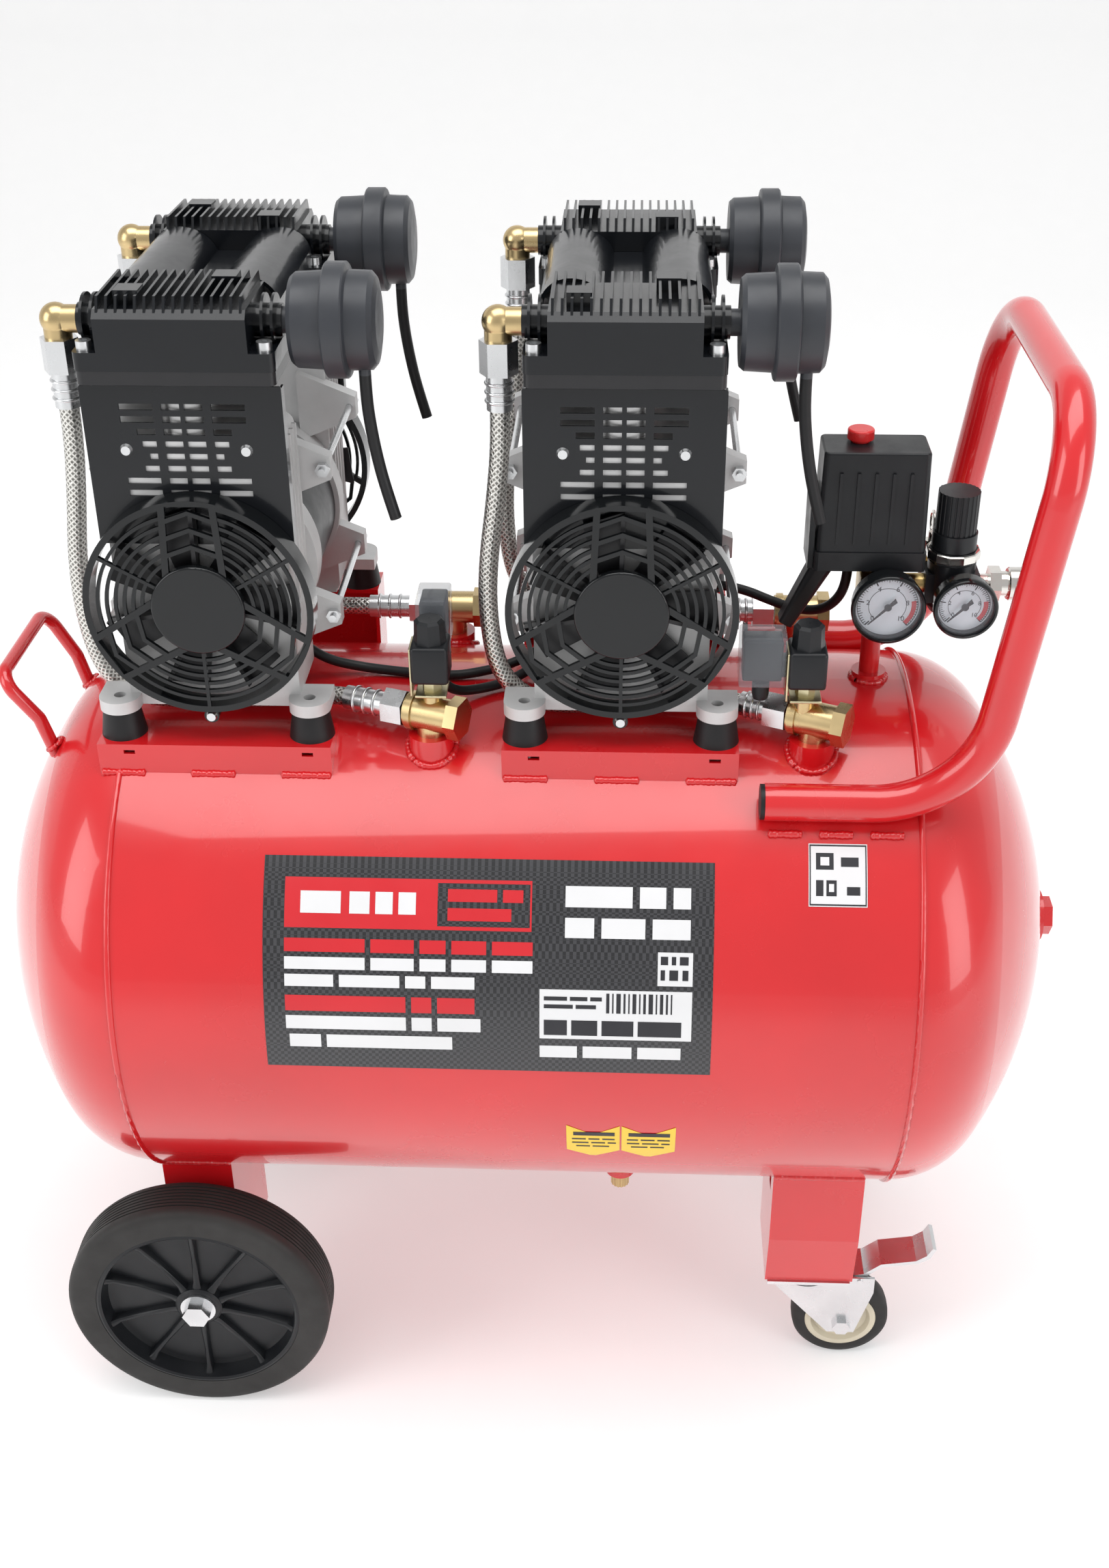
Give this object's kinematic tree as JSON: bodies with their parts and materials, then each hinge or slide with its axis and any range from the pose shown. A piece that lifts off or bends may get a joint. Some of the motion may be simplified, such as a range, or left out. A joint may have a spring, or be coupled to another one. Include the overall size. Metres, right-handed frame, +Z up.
{
  "type": "twin stack air compressor",
  "caption": "Electric air compressor: side-by-side oil-free twin-cylinder pumps on a horizontal tank with wheels, braked casters, handles, switch, gauges and regulator.",
  "frame": {"origin": "on the floor, at the centre of the whole machine's box", "axes": "+X to the right along the tank towards the casters and outlet, +Y to the rear, +Z up"},
  "size_m": [0.812, 0.4204, 0.8965],
  "materials": {
    "red_paint": "gloss",
    "cast_grey": "bead-blasted casting",
    "black_paint": "satin",
    "black_plastic": "satin",
    "black_rubber": "matte",
    "tyre": "matte",
    "brass": "machined",
    "zinc": "bright zinc",
    "braid": "braided",
    "steel": "plain",
    "nickel": "nickel plated",
    "red_plastic": "gloss",
    "cream_plastic": "matte"
  },
  "bodies": {
    "frame": {"chassis_legs": "red_paint", "check_valves": "brass", "crankcases": "cast_grey", "cylinder_heads": "black_paint", "cylinders": "black_paint", "fan_guards": "black_plastic", "fasteners": "zinc", "gauge_cases": "black_plastic", "head_covers": "black_paint", "head_elbows": "brass", "hose_fittings": "zinc", "intake_filters": "black_plastic", "left_front_drain_tube": "black_rubber", "left_front_hose": "braid", "left_rear_drain_tube": "black_rubber", "left_rear_hose": "braid", "lifting_handle": "red_paint", "main_handle": "red_paint", "manifold": "red_paint", "motor_stators": "steel", "outlet_fittings": "nickel", "pump_link_cable": "black_rubber", "regulator_body": "black_plastic", "right_front_drain_tube": "black_rubber", "right_front_hose": "braid", "right_rear_drain_tube": "black_rubber", "right_rear_hose": "braid", "rubber_feet": "black_rubber", "saddles": "red_paint", "switch_base": "black_plastic", "switch_cable": "black_rubber", "switch_cover": "black_plastic", "tank": "red_paint", "tank_ports": "red_paint", "unloader_cable": "black_rubber", "unloader_valves": "black_plastic", "vent_panels": "black_paint", "wheel_hardware": "zinc"},
    "left_rotor": {"left_rotor": "steel"},
    "right_rotor": {"right_rotor": "steel"},
    "left_front_piston": {"left_front_piston": "cast_grey"},
    "left_rear_piston": {"left_rear_piston": "cast_grey"},
    "right_front_piston": {"right_front_piston": "cast_grey"},
    "right_rear_piston": {"right_rear_piston": "cast_grey"},
    "switch_knob": {"switch_knob": "red_plastic"},
    "regulator_spindle": {"regulator_spindle": "zinc"},
    "regulator_knob": {"regulator_knob": "black_plastic"},
    "large_needle": {"large_needle": "red_plastic"},
    "small_needle": {"small_needle": "red_plastic"},
    "coupler_sleeve": {"coupler_sleeve": "nickel"},
    "safety_ring": {"safety_ring": "nickel"},
    "drain_screw": {"drain_screw": "brass"},
    "front_wheel": {"front_wheel": "tyre"},
    "rear_wheel": {"rear_wheel": "tyre"},
    "front_caster_fork": {"front_caster_fork": "zinc"},
    "rear_caster_fork": {"rear_caster_fork": "zinc"},
    "front_caster_wheel": {"front_caster_wheel": "cream_plastic"},
    "rear_caster_wheel": {"rear_caster_wheel": "cream_plastic"},
    "front_brake_lever": {"front_brake_lever": "zinc"},
    "rear_brake_lever": {"rear_brake_lever": "zinc"}
  },
  "joints": [
    {"name": "left_shaft_spin", "type": "hinge", "parent": "frame", "child": "left_rotor", "pos_m": [-0.219, 0.044, 0.6755], "axis": [0, 1, 0], "continuous": true},
    {"name": "left_front_stroke", "type": "slide", "parent": "frame", "child": "left_front_piston", "axis": [0, 0, 1], "range_m": [0, 0.012]},
    {"name": "left_rear_stroke", "type": "slide", "parent": "frame", "child": "left_rear_piston", "axis": [0, 0, 1], "range_m": [-0.012, 0]},
    {"name": "right_shaft_spin", "type": "hinge", "parent": "frame", "child": "right_rotor", "pos_m": [0.0655, 0.044, 0.6755], "axis": [0, 1, 0], "continuous": true},
    {"name": "right_front_stroke", "type": "slide", "parent": "frame", "child": "right_front_piston", "axis": [0, 0, 1], "range_m": [0, 0.012]},
    {"name": "right_rear_stroke", "type": "slide", "parent": "frame", "child": "right_rear_piston", "axis": [0, 0, 1], "range_m": [-0.012, 0]},
    {"name": "switch_pull", "type": "slide", "parent": "frame", "child": "switch_knob", "axis": [0, 0, 1], "range_m": [0, 0.006]},
    {"name": "regulator_turn", "type": "hinge", "parent": "frame", "child": "regulator_spindle", "pos_m": [0.299, 0.005, 0.68], "axis": [0, 0, 1], "range_deg": [-720, 720]},
    {"name": "regulator_lift", "type": "slide", "parent": "regulator_spindle", "child": "regulator_knob", "axis": [0, 0, 1], "range_m": [0, 0.003]},
    {"name": "large_needle_swing", "type": "hinge", "parent": "frame", "child": "large_needle", "pos_m": [0.2515, -0.032, 0.651], "axis": [0, 1, 0], "range_deg": [0, 270]},
    {"name": "small_needle_swing", "type": "hinge", "parent": "frame", "child": "small_needle", "pos_m": [0.305, -0.032, 0.652], "axis": [0, 1, 0], "range_deg": [0, 270]},
    {"name": "coupler_release", "type": "slide", "parent": "frame", "child": "coupler_sleeve", "axis": [-1, 0, 0], "range_m": [0, 0.005], "stiffness_N_per_m": 400},
    {"name": "safety_pull", "type": "slide", "parent": "frame", "child": "safety_ring", "axis": [0, 0, 1], "range_m": [0, 0.004], "stiffness_N_per_m": 400},
    {"name": "drain_turn", "type": "hinge", "parent": "frame", "child": "drain_screw", "pos_m": [0.07, -0.075, 0.17], "axis": [0, 0, 1], "range_deg": [0, 720]},
    {"name": "front_wheel_spin", "type": "hinge", "parent": "frame", "child": "front_wheel", "pos_m": [-0.263, -0.17, 0.104], "axis": [0, 1, 0], "continuous": true},
    {"name": "front_caster_swivel", "type": "hinge", "parent": "frame", "child": "front_caster_fork", "pos_m": [0.223, -0.108, 0.095], "axis": [0, 0, 1], "continuous": true},
    {"name": "front_caster_spin", "type": "hinge", "parent": "front_caster_fork", "child": "front_caster_wheel", "pos_m": [0.255, -0.108, 0.04], "axis": [0, 1, 0], "continuous": true},
    {"name": "front_brake_press", "type": "hinge", "parent": "front_caster_fork", "child": "front_brake_lever", "pos_m": [0.267, -0.108, 0.0895], "axis": [0, 1, 0], "range_deg": [0, 15]},
    {"name": "rear_wheel_spin", "type": "hinge", "parent": "frame", "child": "rear_wheel", "pos_m": [-0.263, 0.17, 0.104], "axis": [0, 1, 0], "continuous": true},
    {"name": "rear_caster_swivel", "type": "hinge", "parent": "frame", "child": "rear_caster_fork", "pos_m": [0.223, 0.108, 0.095], "axis": [0, 0, 1], "continuous": true},
    {"name": "rear_caster_spin", "type": "hinge", "parent": "rear_caster_fork", "child": "rear_caster_wheel", "pos_m": [0.255, 0.108, 0.04], "axis": [0, 1, 0], "continuous": true},
    {"name": "rear_brake_press", "type": "hinge", "parent": "rear_caster_fork", "child": "rear_brake_lever", "pos_m": [0.267, 0.108, 0.0895], "axis": [0, 1, 0], "range_deg": [0, 15]}
  ],
  "couplings": [
    {"joint": "left_rear_stroke", "follows": "left_front_stroke", "ratio": -1},
    {"joint": "right_rear_stroke", "follows": "right_front_stroke", "ratio": -1}
  ]
}
